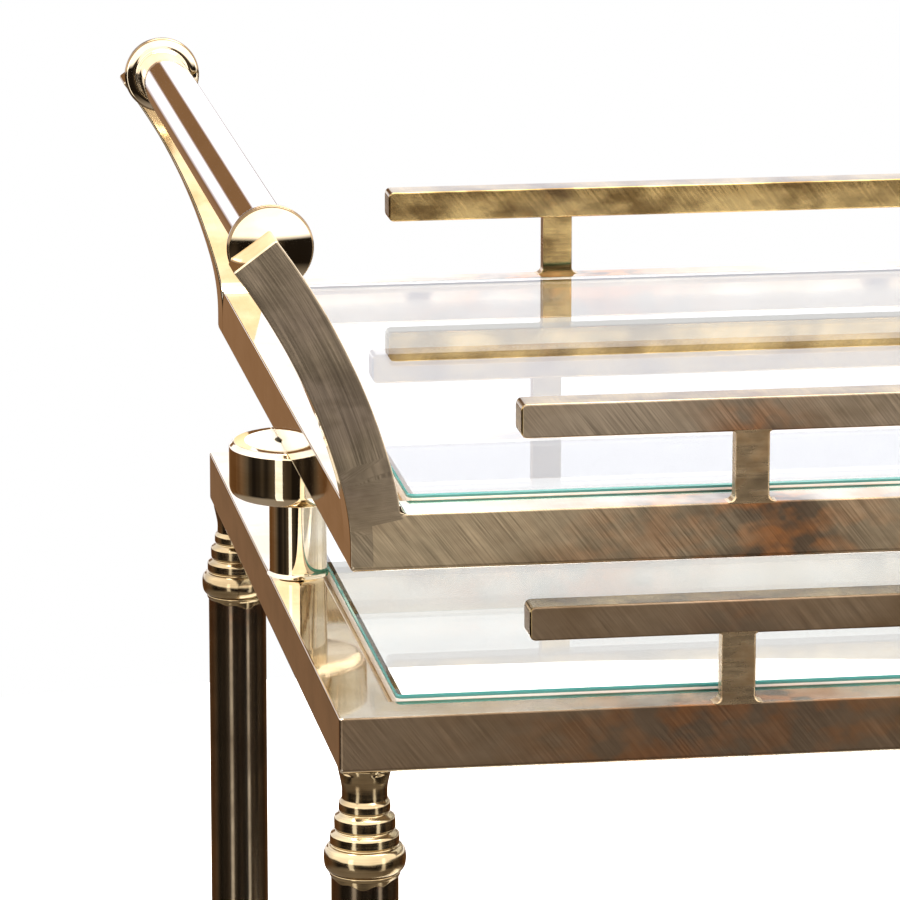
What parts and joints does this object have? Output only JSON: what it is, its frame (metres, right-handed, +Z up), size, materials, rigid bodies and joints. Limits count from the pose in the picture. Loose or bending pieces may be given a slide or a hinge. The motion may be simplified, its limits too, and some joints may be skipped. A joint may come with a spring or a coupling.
{
  "type": "bar cart",
  "caption": "Brass and glass bar cart on swivel casters, with a top tray that turns about a post at the handle end, a tray below it and a bottom shelf.",
  "frame": {"origin": "on the floor under the middle of the cart's bounding box", "axes": "+Z up, +X along the trays away from the handle, +Y to the rear"},
  "size_m": [0.8428, 0.4598, 0.8453],
  "materials": {
    "satin_brass": "satin, hand brushed and aged",
    "polished_brass": "polished and aged",
    "clear_glass": "clear float glass, polished edges",
    "tyre_rubber": "matte",
    "steel": "zinc plated",
    "bronze": "sintered bearing bronze",
    "nylon": "natural"
  },
  "bodies": {
    "base": {"foot_ferrules": "polished_brass", "front_left_leg": "polished_brass", "front_right_leg": "polished_brass", "leg_bottom_ferrules": "polished_brass", "leg_tie_bolts": "steel", "leg_top_ferrules": "polished_brass", "lower_front_gallery": "satin_brass", "lower_front_rail": "satin_brass", "lower_gallery_posts": "satin_brass", "lower_glass": "clear_glass", "lower_glass_ledges": "polished_brass", "lower_left_rail": "satin_brass", "lower_rear_gallery": "satin_brass", "lower_rear_rail": "satin_brass", "lower_right_rail": "satin_brass", "pivot_bush": "bronze", "puck_set_screw": "steel", "rear_left_leg": "polished_brass", "rear_right_leg": "polished_brass", "shelf_front_rail": "satin_brass", "shelf_glass": "clear_glass", "shelf_glass_ledges": "polished_brass", "shelf_left_rail": "satin_brass", "shelf_rear_rail": "satin_brass", "shelf_right_rail": "satin_brass", "swivel_post": "polished_brass", "swivel_puck": "polished_brass", "thrust_washer": "nylon"},
    "top_tray": {"front_handle_arm": "satin_brass", "handle_bar": "polished_brass", "handle_ferrules": "polished_brass", "pivot_block": "steel", "pivot_collar": "steel", "pivot_pin": "steel", "rear_handle_arm": "satin_brass", "upper_front_gallery": "satin_brass", "upper_front_rail": "satin_brass", "upper_gallery_posts": "satin_brass", "upper_glass": "clear_glass", "upper_glass_ledges": "polished_brass", "upper_left_rail": "satin_brass", "upper_rear_gallery": "satin_brass", "upper_rear_rail": "satin_brass", "upper_right_rail": "satin_brass"},
    "front_left_caster": {"front_left_caster_fork": "polished_brass", "front_left_caster_axle": "steel"},
    "front_left_wheel": {"front_left_caster_wheel": "polished_brass", "front_left_caster_tyre": "tyre_rubber"},
    "front_right_caster": {"front_right_caster_fork": "polished_brass", "front_right_caster_axle": "steel"},
    "front_right_wheel": {"front_right_caster_wheel": "polished_brass", "front_right_caster_tyre": "tyre_rubber"},
    "rear_left_caster": {"rear_left_caster_fork": "polished_brass", "rear_left_caster_axle": "steel"},
    "rear_left_wheel": {"rear_left_caster_wheel": "polished_brass", "rear_left_caster_tyre": "tyre_rubber"},
    "rear_right_caster": {"rear_right_caster_fork": "polished_brass", "rear_right_caster_axle": "steel"},
    "rear_right_wheel": {"rear_right_caster_wheel": "polished_brass", "rear_right_caster_tyre": "tyre_rubber"}
  },
  "joints": [
    {"name": "top_swivel", "type": "hinge", "parent": "base", "child": "top_tray", "pos_m": [-0.37002, 0, 0.708], "axis": [0, 0, 1], "continuous": true},
    {"name": "front_left_caster_swivel", "type": "hinge", "parent": "base", "child": "front_left_caster", "pos_m": [-0.37152, -0.214, 0.058], "axis": [0, 0, 1], "continuous": true},
    {"name": "front_left_wheel_roll", "type": "hinge", "parent": "front_left_caster", "child": "front_left_wheel", "pos_m": [-0.38952, -0.214, 0.025], "axis": [0, 1, 0], "continuous": true},
    {"name": "front_right_caster_swivel", "type": "hinge", "parent": "base", "child": "front_right_caster", "pos_m": [0.40548, -0.214, 0.058], "axis": [0, 0, 1], "continuous": true},
    {"name": "front_right_wheel_roll", "type": "hinge", "parent": "front_right_caster", "child": "front_right_wheel", "pos_m": [0.38748, -0.214, 0.025], "axis": [0, 1, 0], "continuous": true},
    {"name": "rear_left_caster_swivel", "type": "hinge", "parent": "base", "child": "rear_left_caster", "pos_m": [-0.37152, 0.214, 0.058], "axis": [0, 0, 1], "continuous": true},
    {"name": "rear_left_wheel_roll", "type": "hinge", "parent": "rear_left_caster", "child": "rear_left_wheel", "pos_m": [-0.38952, 0.214, 0.025], "axis": [0, 1, 0], "continuous": true},
    {"name": "rear_right_caster_swivel", "type": "hinge", "parent": "base", "child": "rear_right_caster", "pos_m": [0.40548, 0.214, 0.058], "axis": [0, 0, 1], "continuous": true},
    {"name": "rear_right_wheel_roll", "type": "hinge", "parent": "rear_right_caster", "child": "rear_right_wheel", "pos_m": [0.38748, 0.214, 0.025], "axis": [0, 1, 0], "continuous": true}
  ]
}
